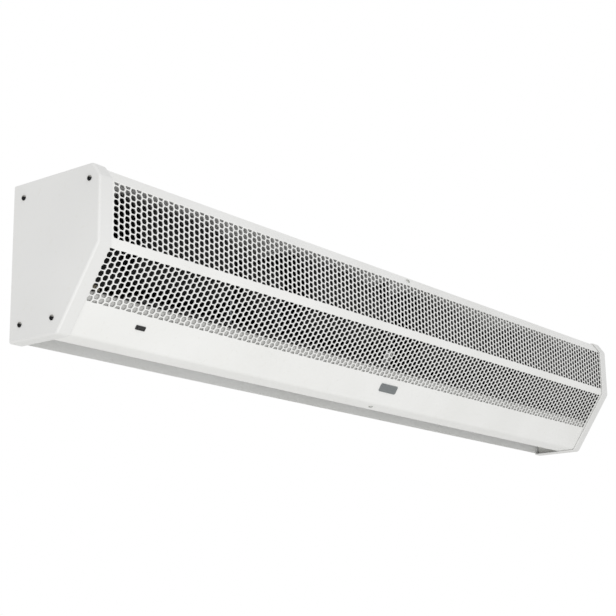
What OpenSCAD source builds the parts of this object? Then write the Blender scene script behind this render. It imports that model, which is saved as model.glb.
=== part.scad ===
// Wall-mounted air curtain for a doorway.
// +X runs along the doorway, the wall is the plane y = 0, the front faces -Y and +Z is up.
// The origin is the centre of the four wall fixing holes, on the back face.

/* [Casing] */
// Overall width, over both end plates
casing_w = 1524; // [1440:12:1680]
// Overall height
casing_h = 229; // [226:1:250]
// Depth from the wall to the upright part of the front
casing_d = 171; // [168:1:190]
// Depth of the underside, from the wall to the foot of the sloping front
foot_d = 94; // [88:1:100]
// Height of the bend in the front above the underside
bend_h = 115; // [108:1:122]
// Depth of the sloping lip along the top front edge
lip_d = 15; // [10:1:20]
// Height of that lip
lip_h = 21; // [15:1:26]
// Thickness of the sheet that the panels are bent from
sheet_t = 1.2; // [1:0.1:1.5]
// Inside radius of the panels' bends
bend_r = 2; // [1.6:0.2:3]
// Gap between pieces that are laid on each other
seat = 0.3; // [0.2:0.05:0.4]

/* [End plates] */
// Thickness of the end plates and of the bulkheads behind them
plate_t = 1.5; // [1.2:0.1:2]
// Width of the flange that turns in over the panels
flange_w = 24; // [20:1:30]
// Thickness of that flange, which is hemmed
hem_t = 3; // [2.6:0.1:3.4]
// Rounding of the bend between end plate and flange
plate_r = 5; // [3.6:0.2:6]
// Distance of the end plate screws from the edges
screw_inset = 20; // [17:1:22]
// Distance of the upper front screw from the top edge
upper_screw_drop = 22; // [18:1:26]
// Distance of the lower front screw from the wall
lower_screw_d = 84; // [72:1:86]

/* [Intake grille] */
// Height of each perforated band, along the sheet
band_h = 79.5; // [70:0.5:82]
// Plain margin between the lip's bend and the upper band
upper_margin = 1.2; // [1:0.1:4]
// Plain margin between the bend in the front and the lower band
lower_margin = 4.4; // [4:0.2:8]
// Rows of openings in a band
band_rows = 3; // [2:1:4]
// Spacing of the columns of openings
column_pitch = 26.4; // [22:0.2:34]
// Width of the metal left between openings
web_w = 2.4; // [2:0.2:4]
// Distance of the first column's centre from the unit's end
band_end = 41; // [40:1:60]

/* [Wall and ceiling fixings] */
// Height of the centre of the wall holes above the underside
fix_h = 145; // [140:1:148]
// Distance of the wall holes and hanging nuts from the unit's ends
fix_inset = 60; // [50:1:66]
// Spacing of the wall holes up the wall
fix_rise = 90; // [70:1:100]
// Radius of a wall hole
fix_r = 4.5; // [3:0.5:5]
// Spacing of the hanging nuts from front to back
hang_d = 80; // [60:1:90]
// Distance of the rear hanging nuts from the wall
hang_back = 40; // [34:1:46]
// Radius of the hanging nuts' bore
hang_r = 4.25; // [3:0.25:5]

/* [Blowers] */
// Height of the blower shaft above the underside
axis_h = 145; // [142:1:146]
// Distance of the blower shaft from the wall
axis_d = 86; // [84:1:88]
// Outer radius of a blower wheel
wheel_r = 52; // [48:1:53]
// Radial depth of the wheel's blades
blade_d = 11; // [9:1:12]
// Number of blades round a wheel
blade_count = 26; // [20:1:30]
// Thickness of a blade
blade_t = 1; // [0.8:0.1:1.4]
// Width of a blower housing
housing_w = 200; // [190:2:206]
// Gap between a blower wheel's ends and the housing's sides
wheel_end_gap = 10; // [6:0.5:16]
// Thickness of the housing's sheet
housing_t = 1.2; // [1:0.1:1.5]
// Gap between the wheel and the housing at the cut-off
cutoff_gap = 4.5; // [3.5:0.5:6]
// Distance from the shaft to the rear wall of the housing
throat_r = 80; // [76:1:81]
// Radius of the housing's inlets
inlet_r = 42; // [38:1:44]
// Distance from a motor's middle to the housings beside it
housing_gap = 95; // [92:1:98]

/* [Motors] */
// Radius of the motor case
motor_r = 46; // [42:1:48]
// Length of the motor case
motor_l = 96; // [90:2:100]
// Radius of the motor shaft
shaft_r = 6.35; // [5:0.05:7]
// Radius of the bosses on the motor's ends
boss_r = 15; // [13:1:16]
// Radius of the rubber rings round the bosses
ring_r = 21; // [19:1:23]
// Radius of the rotor core
rotor_r = 27.2; // [24:0.2:28]
// Air gap between rotor core and stator
air_gap = 0.8; // [0.6:0.1:1.2]

/* [Nozzle] */
// Height of the deck that carries the blowers above the underside
deck_h = 61; // [58:1:62]
// Depth of the air outlet, from the wall to the nozzle's front wall
nozzle_d = 54; // [52:1:56]
// Height of the vanes' pivots above the underside
vane_h = 36; // [34:1:37]
// Chord of a vane
vane_chord = 34; // [28:1:34]
// Thickness of a vane
vane_t = 8; // [7.4:0.2:8.6]
// Distance between the two vanes' pivots
vane_pitch = 22; // [20:0.5:24]
// Radius of the vanes' pivot pins
vane_pin_r = 2.5; // [2:0.1:2.8]
// Radius of the pins that the link bar turns on
link_pin_r = 1.5; // [1.2:0.1:1.6]
// Distance of the link pins below the pivots
link_drop = 10; // [9:0.5:11]
// Running clearance of pins and shafts, on the radius
run_gap = 0.06; // [0.03:0.01:0.09]

/* [Switch and plate] */
// Distance of the switch from the unit's left end
switch_x = 143; // [120:1:180]
// Distance of the switch below the bend, along the sloping front
switch_drop = 103; // [100:1:106]
// Length of the switch's frame
frame_l = 20.6; // [20:0.2:26]
// Width of the switch's frame
frame_w = 9.8; // [9.6:0.2:13]
// Length of the blank rating plate
label_l = 50; // [40:1:70]
// Height of the blank rating plate
label_h = 15; // [12:1:20]
// Distance of the plate's middle from the unit's middle
label_x = 2.5; // [-10:0.5:10]

/* [Hidden] */
$fn = 48;

paint = "#ecebe7";
dark_steel = "#2f3133";
zinc = "#b9bcbe";
black_plastic = "#1d1e1f";

// Heights of the main levels, measured from the origin
floor_z = -fix_h;
roof_z = floor_z + casing_h;
bend_z = floor_z + bend_h;
axis_z = floor_z + axis_h;
axis_y = -axis_d;
deck_z = floor_z + deck_h;
deck_top = deck_z + sheet_t;

// How far the panels lie inside the casing's outline, layer by layer
skin_in = hem_t + seat;
under_in = skin_in + sheet_t + seat;
core_in = under_in + sheet_t + seat;

fix_w = casing_w - 2 * fix_inset;

// Half lengths of the panels, which stop at the end plates' bends, and of what the bulkheads enclose
skin_half = casing_w / 2 - plate_t - (plate_r - hem_t);
bay_half = casing_w / 2 - 2 * (plate_t + seat);
// Where pieces that meet the rear flanges stop, clear of their bends
core_back = -2 * (sheet_t + seat) - bend_r / 2;

// The electrical box stands at the left bulkhead, and each outer housing's tabs clear it
box_l = 80;
box_x = -bay_half + 5;
box_clear = 0.4;
tab_w = 14;
motor_x = -box_x - box_l - box_clear - tab_w - housing_w - housing_gap;
housing_xs = [for (m = [-motor_x, motor_x], s = [-1, 1]) m + s * (housing_gap + housing_w / 2)];

through = 1;
screw_r = 2;
screw_head_r = 4;
screw_head_h = 2.2;
screw_clear = 0.3;
end_screw_l = 7;

// ---------------------------------------------------------------- outlines in the plane y, z

function heading(p, q) = (q - p) / norm(q - p);
// The direction into the casing from an edge that runs along v
function inward(v) = [v[1], -v[0]];

// Moves every edge of an open outline into the casing by d
function shifted(path, d) = [
  for (i = [0 : len(path) - 1])
    let (before = inward(heading(path[max(i - 1, 0)], path[max(i, 1)])),
         after = inward(heading(path[min(i, len(path) - 2)], path[min(i + 1, len(path) - 1)])))
      path[i] + d * (before + after) / (1 + before * after)
];

function turned(v, a) = [v[0] * cos(a) - v[1] * sin(a), v[0] * sin(a) + v[1] * cos(a)];

// The arc of radius r that rounds corner q between p and s
function corner_arc(p, q, s, r, steps) =
  let (a = heading(p, q), b = heading(q, s), turn = atan2(cross(a, b), a * b),
       reach = r * tan(abs(turn) / 2), side = turn > 0 ? 1 : -1,
       start = q - a * reach, centre = start + side * r * [-a[1], a[0]])
    [for (k = [0 : steps]) centre + turned(start - centre, turn * k / steps)];

// Rounds the inner corners of an open outline
function rounded(path, r, steps = 4) = [
  for (i = [0 : len(path) - 1])
    each (i == 0 || i == len(path) - 1) ? [path[i]]
      : corner_arc(path[i - 1], path[i], path[i + 1], r, steps)
];

function backwards(path) = [for (i = [len(path) - 1 : -1 : 0]) path[i]];
// The closed section of a sheet whose outer face follows the path
function sheet_section(path, t) = concat(path, backwards(shifted(path, t)));

// The casing's outline from the foot of the wall side round the front to the top of it
function outline(back_y = 0) = [
  [back_y, floor_z], [-foot_d, floor_z], [-casing_d, bend_z],
  [-casing_d, roof_z - lip_h], [lip_d - casing_d, roof_z], [back_y, roof_z]
];

skin = shifted(outline(), skin_in);
under = shifted(outline(), under_in);
slope_way = heading(skin[2], skin[1]);
slope_in = inward(-slope_way);

// The y of the sloping front at height z, d inside the outline
function slope_y(z, d) =
  let (line = shifted(outline(), d)) line[2][0]
    + (line[1][0] - line[2][0]) * (z - line[2][1]) / (line[1][1] - line[2][1]);

// Draws a flat shape of the plane y, z and gives it the width w along X
module along_x(w) {
  rotate([90, 0, 90]) translate([0, 0, -w / 2]) linear_extrude(w) children();
}

module bent_sheet(path, w, t = sheet_t) {
  along_x(w) polygon(sheet_section(rounded(path, bend_r + t), t));
}

// A cylinder along X about the line y, z, centred on x
module rod_x(r, l, x, y, z) {
  translate([x, y, z]) rotate([0, 90, 0]) cylinder(r = r, h = l, center = true);
}

// Children's X stays, their Y runs down the face and their Z points into the casing
module on_face(from, to) {
  way = heading(from, to);
  translate([0, from[0], from[1]]) rotate([atan2(way[1], way[0]), 0, 0]) children();
}

module on_slope(x, drop) {
  on_face(skin[2], skin[1]) translate([x, drop, 0]) children();
}

// A pan-head screw whose head sits on z = 0 and whose shank points along +Z
module screw(shank) {
  difference() {
    union() {
      translate([0, 0, -screw_head_h]) cylinder(r = screw_head_r, h = screw_head_h);
      cylinder(r = screw_r, h = shank);
    }
    for (a = [0, 90]) rotate([0, 0, a])
      translate([-2.3, -0.45, -screw_head_h - through]) cube([4.6, 0.9, 1.2 + through]);
  }
}

// ---------------------------------------------------------------- casing

end_screws = [
  [-screw_inset, roof_z - upper_screw_drop], [-casing_d + screw_inset, roof_z - upper_screw_drop],
  [-screw_inset, floor_z + screw_inset + 4], [-lower_screw_d, floor_z + screw_inset + 4]
];

// A block with the casing's outline and a rounded edge at x = 0
module pan_block(inset, back_y, r, l) {
  edge_steps = 4;
  slice = 0.02;
  hull() {
    for (k = [0 : edge_steps]) {
      a = 90 * k / edge_steps;
      depth = k == edge_steps ? l - r : slice;
      translate([r * (1 - cos(a)) + depth / 2, 0, 0]) along_x(depth)
        polygon(rounded(shifted(outline(back_y), inset + r * (1 - sin(a))), r));
    }
  }
}

// The left end plate, from its outer face at x = 0
module end_plate() {
  difference() {
    pan_block(0, 0, plate_r, flange_w);
    translate([plate_t, 0, 0]) pan_block(hem_t, through, plate_r - hem_t, flange_w);
    for (p = end_screws) rod_x(screw_r + screw_clear, 4 * plate_t, 0, p[0], p[1]);
  }
}

module at_left_end() { translate([-casing_w / 2, 0, 0]) children(); }
module at_right_end() { mirror([1, 0, 0]) at_left_end() children(); }

module left_end_plate() { color(paint) at_left_end() end_plate(); }
module right_end_plate() { color(paint) at_right_end() end_plate(); }

// The inner end wall, which carries the deck, the nozzle and the vanes' bearings
module bulkhead() {
  translate([plate_t + seat + plate_t / 2, 0, 0]) difference() {
    along_x(plate_t) polygon(shifted(outline(core_back), core_in));
    for (p = end_screws) rod_x(screw_r + run_gap, 2 * plate_t, 0, p[0], p[1]);
  }
}

module left_bulkhead() { color(zinc) at_left_end() bulkhead(); }
module right_bulkhead() { color(zinc) at_right_end() bulkhead(); }

module back_panel() {
  color(paint) difference() {
    translate([-skin_half, -sheet_t, floor_z + skin_in])
      cube([2 * skin_half, sheet_t, casing_h - 2 * skin_in]);
    for (x = [-fix_w / 2, fix_w / 2], z = [-fix_rise / 2, fix_rise / 2])
      translate([x, through, z]) rotate([90, 0, 0]) cylinder(r = fix_r, h = sheet_t + 2 * through);
  }
}

back_flange = 18;
nut_barrel_r = hang_r + 2;
nut_flange_r = nut_barrel_r + 3;
nut_flange_t = 1;
grommet_gap = 16;
grommet_x = -casing_w / 2 + flange_w + grommet_gap;
grommet_y = -axis_d + 6;
grommet_bore = 7;
grommet_groove = 10;

module top_panel() {
  rear_y = -sheet_t - seat;
  color(paint) difference() {
    bent_sheet([under[4] + 0.7 * (under[3] - under[4]), under[4],
                [rear_y, under[4][1]], [rear_y, under[4][1] - back_flange]], 2 * skin_half);
    for (x = [-fix_w / 2, fix_w / 2], y = [-hang_back, -hang_back - hang_d])
      translate([x, y, under[4][1] - 2 * sheet_t])
        cylinder(r = nut_barrel_r + seat, h = 4 * sheet_t);
    translate([grommet_x, grommet_y, under[4][1] - 2 * sheet_t])
      cylinder(r = grommet_groove + seat, h = 4 * sheet_t);
    lip_screw_hole();
  }
}

module at_lip_screw() {
  on_face(skin[4], skin[3]) translate([0, norm(skin[3] - skin[4]) / 2, 0]) children();
}
module lip_screw_hole() {
  at_lip_screw() translate([0, 0, -through]) cylinder(r = screw_r + screw_clear, h = 10);
}

foot_screw_y = -(foot_d + nozzle_d) / 2;
module at_foot_screw() {
  translate([0, foot_screw_y, floor_z + skin_in]) children();
}
module foot_screw_hole() {
  at_foot_screw() translate([0, 0, -through]) cylinder(r = screw_r + screw_clear, h = 10);
}

// One elongated six-sided opening, centred on the origin
hole_pitch = band_h / (band_rows + 0.5);
module opening() {
  half_w = column_pitch * 2 / 3 - web_w / 2;
  half_h = (hole_pitch - web_w) / 2;
  polygon([
    [-half_w, 0], [-half_w / 2, -half_h], [half_w / 2, -half_h],
    [half_w, 0], [half_w / 2, half_h], [-half_w / 2, half_h]
  ]);
}

columns = floor((casing_w - 2 * band_end) / column_pitch) + 1;
// The staggered openings of one band, for a face that begins at y = 0
module band(margin) {
  translate([0, 0, -through]) linear_extrude(sheet_t + 2 * through)
    for (i = [0 : columns - 1], k = [0 : band_rows - 1])
      translate([
        (i - (columns - 1) / 2) * column_pitch,
        margin + (k + 0.5 + (i % 2) / 2) * hole_pitch
      ]) opening();
}

case_l = frame_l - 3;
case_w = frame_w - 2.2;
module front_panel() {
  top_flange = 14;
  color(paint) difference() {
    bent_sheet([[-nozzle_d, skin[0][1]], skin[1], skin[2], skin[3], skin[4],
                skin[4] + [top_flange, 0]], 2 * skin_half);
    on_face(skin[3], skin[2]) band(upper_margin);
    on_face(skin[2], skin[1]) band(lower_margin);
    on_slope(switch_x - casing_w / 2, switch_drop)
      translate([-case_l / 2 - seat, -case_w / 2 - seat, -through])
        cube([case_l + 2 * seat, case_w + 2 * seat, sheet_t + 2 * through]);
    lip_screw_hole();
    foot_screw_hole();
  }
}

// ---------------------------------------------------------------- deck and nozzle

// The housings' outlets stand back a little from the nozzle's front wall
outlet_step = 2;
outlet_reach = axis_d - nozzle_d + outlet_step;
outlet_front = axis_y + outlet_reach;
deck_flange = 14;
deck_apron = 20;
deck_gap = 1.5;

// The deck's front edge turns down behind the lowest openings
module blower_deck() {
  front_in = skin_in + sheet_t + deck_gap + sheet_t;
  rear_y = -sheet_t - seat;
  color(paint) difference() {
    bent_sheet([[rear_y, deck_z + deck_flange], [rear_y, deck_z],
                [slope_y(deck_z, front_in), deck_z],
                [slope_y(deck_z - deck_apron, front_in), deck_z - deck_apron]], 2 * bay_half);
    for (x = housing_xs)
      translate([x - housing_w / 2 + housing_t, outlet_front + housing_t, deck_z - through])
        cube([housing_w - 2 * housing_t, axis_y + throat_r - outlet_front - 2 * housing_t,
              sheet_t + 2 * through]);
    for (x = housing_xs, s = [-1, 1], y = tab_screw_ys)
      translate([x + s * tab_x, y, deck_z - through])
        cylinder(r = screw_r + run_gap, h = sheet_t + 2 * through);
    for (m = [-motor_x, motor_x], s = [-1, 1], u = [-1, 1])
      translate([m + s * cradle_screw_x, axis_y + u * cradle_screw_y, deck_z - through])
        cylinder(r = screw_r + run_gap, h = sheet_t + 2 * through);
    translate([switch_lead_x, switch_lead_y, deck_z - through])
      cylinder(r = lead_groove + seat, h = sheet_t + 2 * through);
  }
}

foot_flange = 28;
head_flange = 9;
module nozzle_front_wall() {
  color(paint) difference() {
    bent_sheet([[-nozzle_d - head_flange, deck_z], [-nozzle_d, deck_z],
                [-nozzle_d, floor_z + under_in],
                [-nozzle_d - foot_flange, floor_z + under_in]], 2 * bay_half);
    foot_screw_hole();
  }
}

// The stay at mid width: a web across the casing, whose flange stands back from the grille
stay_in = 32;
stay_drop = 24;
module centre_support() {
  foot = [slope_y(deck_top, stay_in), deck_top];
  knee_z = bend_z + stay_drop * slope_way[1];
  knee = [slope_y(knee_z, stay_in), knee_z];
  top_z = roof_z - under_in - seat - sheet_t;
  rear_y = core_back;
  flange_half = 9;
  // The corner cut off the web's foot, clear of the deck's rear flange
  cut_y = 10;
  cut_z = deck_flange + 4;
  color(paint) difference() {
    union() {
      along_x(plate_t) polygon([
        [rear_y, deck_z + cut_z], [rear_y - cut_y, deck_top], foot, knee,
        [knee[0], top_z], [rear_y, top_z]
      ]);
      along_x(2 * flange_half) polygon(sheet_section([foot, knee], plate_t));
    }
    rod_x(casing_h / 6, 2 * plate_t, 0, (rear_y + knee[0]) / 2, axis_z);
  }
}

// ---------------------------------------------------------------- blowers

cutoff_r = wheel_r + cutoff_gap;
cutoff_angle = 300;
spiral_steps = 25;
deck_drop = axis_z - deck_top;

// The side view of a blower housing about its shaft, d outside the nominal wall
function scroll(d, drop) = concat(
  [for (k = [0 : spiral_steps])
    let (turn = cutoff_angle * k / spiral_steps,
         r = cutoff_r + (throat_r - cutoff_r) * turn / cutoff_angle + d)
      r * [cos(cutoff_angle - turn), sin(cutoff_angle - turn)]],
  [[throat_r + d, -drop], [outlet_reach - d, -drop]]
);

tab_short = 2;
tab_x = housing_w / 2 + tab_w / 2;
tab_ys = [outlet_front + tab_short, axis_y + throat_r - tab_short];
tab_screw_ys = [tab_ys[0] + tab_w / 2, tab_ys[1] - tab_w / 2];

module housing(x) {
  lip_l = 4;
  color(dark_steel) translate([x, axis_y, axis_z]) difference() {
    union() {
      along_x(housing_w) polygon(scroll(0, deck_drop));
      rod_x(inlet_r + housing_t, housing_w + 2 * lip_l, 0, 0, 0);
      translate([-housing_w / 2 - tab_w, tab_ys[0] - axis_y, -deck_drop])
        cube([housing_w + 2 * tab_w, tab_ys[1] - tab_ys[0], sheet_t]);
    }
    along_x(housing_w - 2 * housing_t) polygon(scroll(-housing_t, deck_drop + through));
    rod_x(inlet_r, housing_w + 4 * lip_l, 0, 0, 0);
    for (s = [-1, 1], y = tab_screw_ys)
      translate([s * tab_x, y - axis_y, -deck_drop - through])
        cylinder(r = screw_r + screw_clear, h = sheet_t + 2 * through);
  }
}

wheel_w = housing_w - 2 * wheel_end_gap;
hub_r = 14;
hub_l = 26;
ring_t = 2;
blade_bow = 4.4;
rim_over = 0.4;
// One blade: a strip bent forward in the direction that the wheel turns
module blade() {
  inner = wheel_r - blade_d;
  mid = wheel_r - blade_d / 2;
  outer = wheel_r - rim_over;
  linear_extrude(wheel_w, center = true) polygon([
    [inner, 0], turned([mid, 0], blade_bow), [outer, 0],
    [outer, blade_t], turned([mid, blade_t], blade_bow), [inner, blade_t]
  ]);
}

module wheel(x) {
  color(zinc) translate([x, axis_y, axis_z]) rotate([0, 90, 0]) difference() {
    union() {
      for (i = [0 : blade_count - 1]) rotate([0, 0, 360 * i / blade_count]) blade();
      for (z = [-wheel_w / 2, wheel_w / 2 - ring_t]) translate([0, 0, z]) difference() {
        cylinder(r = wheel_r, h = ring_t);
        translate([0, 0, -through]) cylinder(r = wheel_r - blade_d / 2, h = ring_t + 2 * through);
      }
      cylinder(r = wheel_r - 3 * rim_over, h = ring_t, center = true);
      cylinder(r = hub_r, h = hub_l, center = true);
    }
    cylinder(r = shaft_r, h = wheel_w, center = true);
  }
}

// ---------------------------------------------------------------- motors

bell_t = 6;
boss_l = 18;
bush_l = 14;
bush_r = shaft_r + 3;
stator_l = 46;
shell_t = 2;
ring_w = 12;
ring_x = motor_l / 2 + boss_l - ring_w / 2;

module motor_case(m) {
  color(dark_steel) difference() {
    union() {
      rod_x(motor_r, motor_l, m, axis_y, axis_z);
      rod_x(boss_r, motor_l + 2 * boss_l, m, axis_y, axis_z);
    }
    rod_x(motor_r - shell_t, motor_l - 2 * bell_t, m, axis_y, axis_z);
    rod_x(bush_r + run_gap, 2 * motor_l, m, axis_y, axis_z);
  }
}

module tube_x(r, bore, l, x) {
  difference() {
    rod_x(r, l, x, axis_y, axis_z);
    rod_x(bore, l + 2 * through, x, axis_y, axis_z);
  }
}

module stator(m) {
  color(zinc) tube_x(motor_r - shell_t - seat, rotor_r + air_gap, stator_l, m);
}

module motor_windings() {
  winding_l = 12;
  clear = 2;
  color("#a8602c") for (m = [-motor_x, motor_x], s = [-1, 1])
    tube_x(motor_r - shell_t - 2 * clear, rotor_r + air_gap + clear, winding_l,
           m + s * (stator_l + winding_l) / 2);
}

module motor_bushes() {
  color("#b08d57") for (m = [-motor_x, motor_x], s = [-1, 1])
    tube_x(bush_r, shaft_r + run_gap, bush_l, m + s * (motor_l / 2 + boss_l - bush_l / 2));
}

module rotor_core(m) {
  color(zinc) tube_x(rotor_r, shaft_r, stator_l, m);
}

module shaft(m) {
  shaft_end = 8;
  shaft_l = 2 * (housing_gap + housing_w / 2 + hub_l / 2 + shaft_end);
  color(zinc) rod_x(shaft_r, shaft_l, m, axis_y, axis_z);
}

cradle_w = 52;
cradle_t = 2;
upright_t = 3;
cradle_wall = 6;
cradle_l = 2 * (ring_x + 2 * cradle_wall);
cradle_screw_x = ring_x - 2 * cradle_wall;
cradle_screw_y = cradle_w / 2 - cradle_wall - 1;
module motor_cradle(m) {
  color(zinc) difference() {
    union() {
      translate([m - cradle_l / 2, axis_y - cradle_w / 2, deck_top])
        cube([cradle_l, cradle_w, cradle_t]);
      for (s = [-1, 1]) {
        rod_x(ring_r + cradle_wall, upright_t, m + s * ring_x, axis_y, axis_z);
        translate([m + s * ring_x, axis_y, 0]) along_x(upright_t) polygon([
          [-cradle_w / 2, deck_top], [cradle_w / 2, deck_top],
          [ring_r + cradle_wall, axis_z], [-ring_r - cradle_wall, axis_z]
        ]);
      }
    }
    for (s = [-1, 1]) rod_x(ring_r + run_gap, 2 * upright_t, m + s * ring_x, axis_y, axis_z);
    for (s = [-1, 1], u = [-1, 1])
      translate([m + s * cradle_screw_x, axis_y + u * cradle_screw_y, deck_top - through])
        cylinder(r = screw_r + screw_clear, h = cradle_t + 2 * through);
  }
}

module motor_rubber_rings() {
  color(black_plastic) for (m = [-motor_x, motor_x], s = [-1, 1])
    tube_x(ring_r, boss_r + run_gap, ring_w, m + s * ring_x);
}

// ---------------------------------------------------------------- vanes

vane_z = floor_z + vane_h;
nozzle_mid = -(nozzle_d + sheet_t) / 2;
front_vane_y = nozzle_mid - vane_pitch / 2;
rear_vane_y = nozzle_mid + vane_pitch / 2;
bearing_t = 10;
link_t = 3;
link_side = 1;
vane_half = bay_half - bearing_t - link_t - 4 * link_side;
pin_sunk = 12;
pin_into_bearing = 7;

// The vane's section: a symmetrical streamlined lens with its chord along z
function vane_side(s) = [
  for (k = [0 : 12])
    let (t = k / 12) [s * vane_t / 2 * sqrt(sin(180 * t)), s * vane_chord * (t - 0.5)]
];

module vane(y) {
  color("#c9cbcc") translate([0, y, vane_z]) difference() {
    along_x(2 * vane_half) polygon(concat(vane_side(1), vane_side(-1)));
    for (s = [-1, 1]) rod_x(vane_pin_r + run_gap, 2 * pin_sunk, s * vane_half, 0, 0);
    rod_x(link_pin_r + run_gap, 2 * pin_sunk, -vane_half, 0, -link_drop);
  }
}

module vane_pins(y) {
  pin_l = pin_sunk - 1 + bay_half - bearing_t - vane_half + pin_into_bearing;
  color(zinc) translate([0, y, vane_z]) {
    for (s = [-1, 1])
      rod_x(vane_pin_r, pin_l, s * (vane_half - pin_sunk + 1 + pin_l / 2), 0, 0);
    link_pin_l = pin_sunk - 1 + link_t + 2 * link_side;
    rod_x(link_pin_r, link_pin_l, -vane_half + pin_sunk - 1 - link_pin_l / 2, 0, -link_drop);
  }
}

module vane_link_bar() {
  link_x = -vane_half - link_side - link_t / 2;
  eye_r = 3.4;
  color(zinc) difference() {
    union() {
      for (y = [front_vane_y, rear_vane_y]) rod_x(eye_r, link_t, link_x, y, vane_z - link_drop);
      translate([link_x - link_t / 2, front_vane_y, vane_z - link_drop - eye_r])
        cube([link_t, vane_pitch, 2 * eye_r]);
    }
    for (y = [front_vane_y, rear_vane_y])
      rod_x(link_pin_r + run_gap, 2 * link_t, link_x, y, vane_z - link_drop);
  }
}

module vane_bearing(s) {
  low_z = floor_z + under_in;
  color(black_plastic) difference() {
    translate([s * (bay_half - bearing_t / 2) - bearing_t / 2, -nozzle_d + seat, low_z])
      cube([bearing_t, nozzle_d - 2 * sheet_t - 3 * seat, deck_z - low_z - seat]);
    for (y = [front_vane_y, rear_vane_y])
      rod_x(vane_pin_r + run_gap, 2 * (pin_into_bearing + 1), s * (bay_half - bearing_t), y, vane_z);
    // Room for the tip of the end plate's screw
    rod_x(screw_r + screw_clear, 2 * end_screw_l, s * bay_half, end_screws[2][0], end_screws[2][1]);
  }
}

// ---------------------------------------------------------------- electrics

box_front = 122;
box_back = 44;
box_h = 76;
box_wall = 1.2;
lead_r = 3;
lead_bend = 5;
lead_groove = lead_r + 1.5;
lead_z = deck_top + lead_r + seat;
left_lead_y = axis_y - cradle_w / 2 - 2 * lead_r + 1;
right_lead_y = left_lead_y - 2 * lead_r - 1;
lead_exit_z = deck_top + 18;
lead_exit_gap = 18;
lead_exit_ys = [axis_y + 2, axis_y + 2 - lead_exit_gap];
lead_run_out = 14;
lead_tail = 10;
switch_lead_x = box_x + box_l - lead_run_out;

module electrical_box() {
  color(zinc) difference() {
    translate([box_x, -box_front, deck_top]) cube([box_l, box_front - box_back, box_h]);
    translate([box_x + box_wall, -box_front - through, deck_top + box_wall])
      cube([box_l - 2 * box_wall, box_front - box_back - box_wall + through, box_h - 2 * box_wall]);
    for (y = lead_exit_ys) rod_x(lead_groove + seat, 4 * box_wall, box_x + box_l, y, lead_exit_z);
    translate([switch_lead_x, switch_lead_y, deck_top - through])
      cylinder(r = lead_groove + seat, h = box_wall + 2 * through);
    translate([grommet_x, grommet_y, deck_top + box_h - 2 * box_wall])
      cylinder(r = grommet_bore, h = 4 * box_wall);
  }
}

module electrical_box_cover() {
  cover_return = 9;
  color(zinc) difference() {
    translate([box_x - seat - box_wall, -box_front - seat - box_wall, deck_top + cover_return])
      cube([box_l + 2 * seat + 2 * box_wall, cover_return + box_wall,
            box_h - cover_return + seat + box_wall]);
    translate([box_x - seat, -box_front - seat, deck_top])
      cube([box_l + 2 * seat, cover_return + through, box_h + seat]);
  }
}

block_l = 42;
block_w = 16;
block_h = 14;
block_inset = 10;
module terminal_block() {
  ways = 4;
  color("#e6e2d4") translate([box_x + block_inset, -box_front + block_inset, deck_top + box_wall])
    difference() {
      cube([block_l, block_w, block_h]);
      for (i = [0 : ways - 1])
        translate([block_l * (i + 0.5) / ways, block_w / 2, block_h / 3])
          cylinder(r = 2.4, h = block_h);
    }
}

module capacitors() {
  cap_r = 15;
  cap_h = 52;
  cap_gap = 1;
  stud_h = 6;
  color("#c9c9c4") for (x = [cap_r + cap_gap, 3 * cap_r + 3 * cap_gap])
    translate([box_x + box_wall + x, -box_back - box_wall - cap_r - cap_gap, deck_top + box_wall]) {
      cylinder(r = cap_r, h = cap_h);
      cylinder(r = stud_h * 2 / 3, h = cap_h + stud_h);
    }
}

// A rubber bush in a sheet of thickness t whose middle is at the origin, with its bore along Z
module bush(bore, groove, t) {
  lip_t = 1.6;
  difference() {
    union() {
      cylinder(r = groove, h = t + 2 * seat, center = true);
      for (s = [-1, 1]) translate([0, 0, s * (t / 2 + seat + lip_t / 2)])
        cylinder(r = groove + 2.5, h = lip_t, center = true);
    }
    cylinder(r = bore, h = t + 6 * lip_t, center = true);
  }
}

module cable_grommet() {
  color(black_plastic) translate([grommet_x, grommet_y, under[4][1] - sheet_t / 2])
    bush(grommet_bore, grommet_groove, sheet_t);
}

module lead_grommets() {
  color(black_plastic) {
    for (y = lead_exit_ys)
      translate([box_x + box_l - box_wall / 2, y, lead_exit_z]) rotate([0, 90, 0])
        bush(lead_r + run_gap, lead_groove, box_wall);
    translate([switch_lead_x, switch_lead_y, deck_top])
      bush(lead_r + run_gap, lead_groove, box_wall + sheet_t);
  }
}

// A quarter bend of a lead about the corner q, from the way a to the way b
module lead_corner(q, a, b) {
  axis = cross(a, b);
  centre = q + lead_bend * (b - a);
  multmatrix([for (k = [0 : 2]) [-b[k], a[k], axis[k], centre[k]]])
    rotate_extrude(angle = 90) translate([lead_bend, 0]) circle(r = lead_r);
}

// A round lead whose runs meet at right angles
module lead(points) {
  last = len(points) - 1;
  ways = [for (i = [0 : last - 1]) heading(points[i], points[i + 1])];
  color(black_plastic) for (i = [0 : last - 1]) {
    from = points[i] + (i > 0 ? lead_bend : 0) * ways[i];
    to = points[i + 1] - (i < last - 1 ? lead_bend : 0) * ways[i];
    translate(from) rotate([0, acos(ways[i][2]), atan2(ways[i][1], ways[i][0])])
      cylinder(r = lead_r, h = norm(to - from));
    if (i > 0) lead_corner(points[i], ways[i - 1], ways[i]);
  }
}

// Where a lead at distance y from the wall meets the underside of a motor
function motor_under(y) = axis_z - sqrt(pow(motor_r + seat, 2) - pow(y - axis_y, 2));

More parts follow.
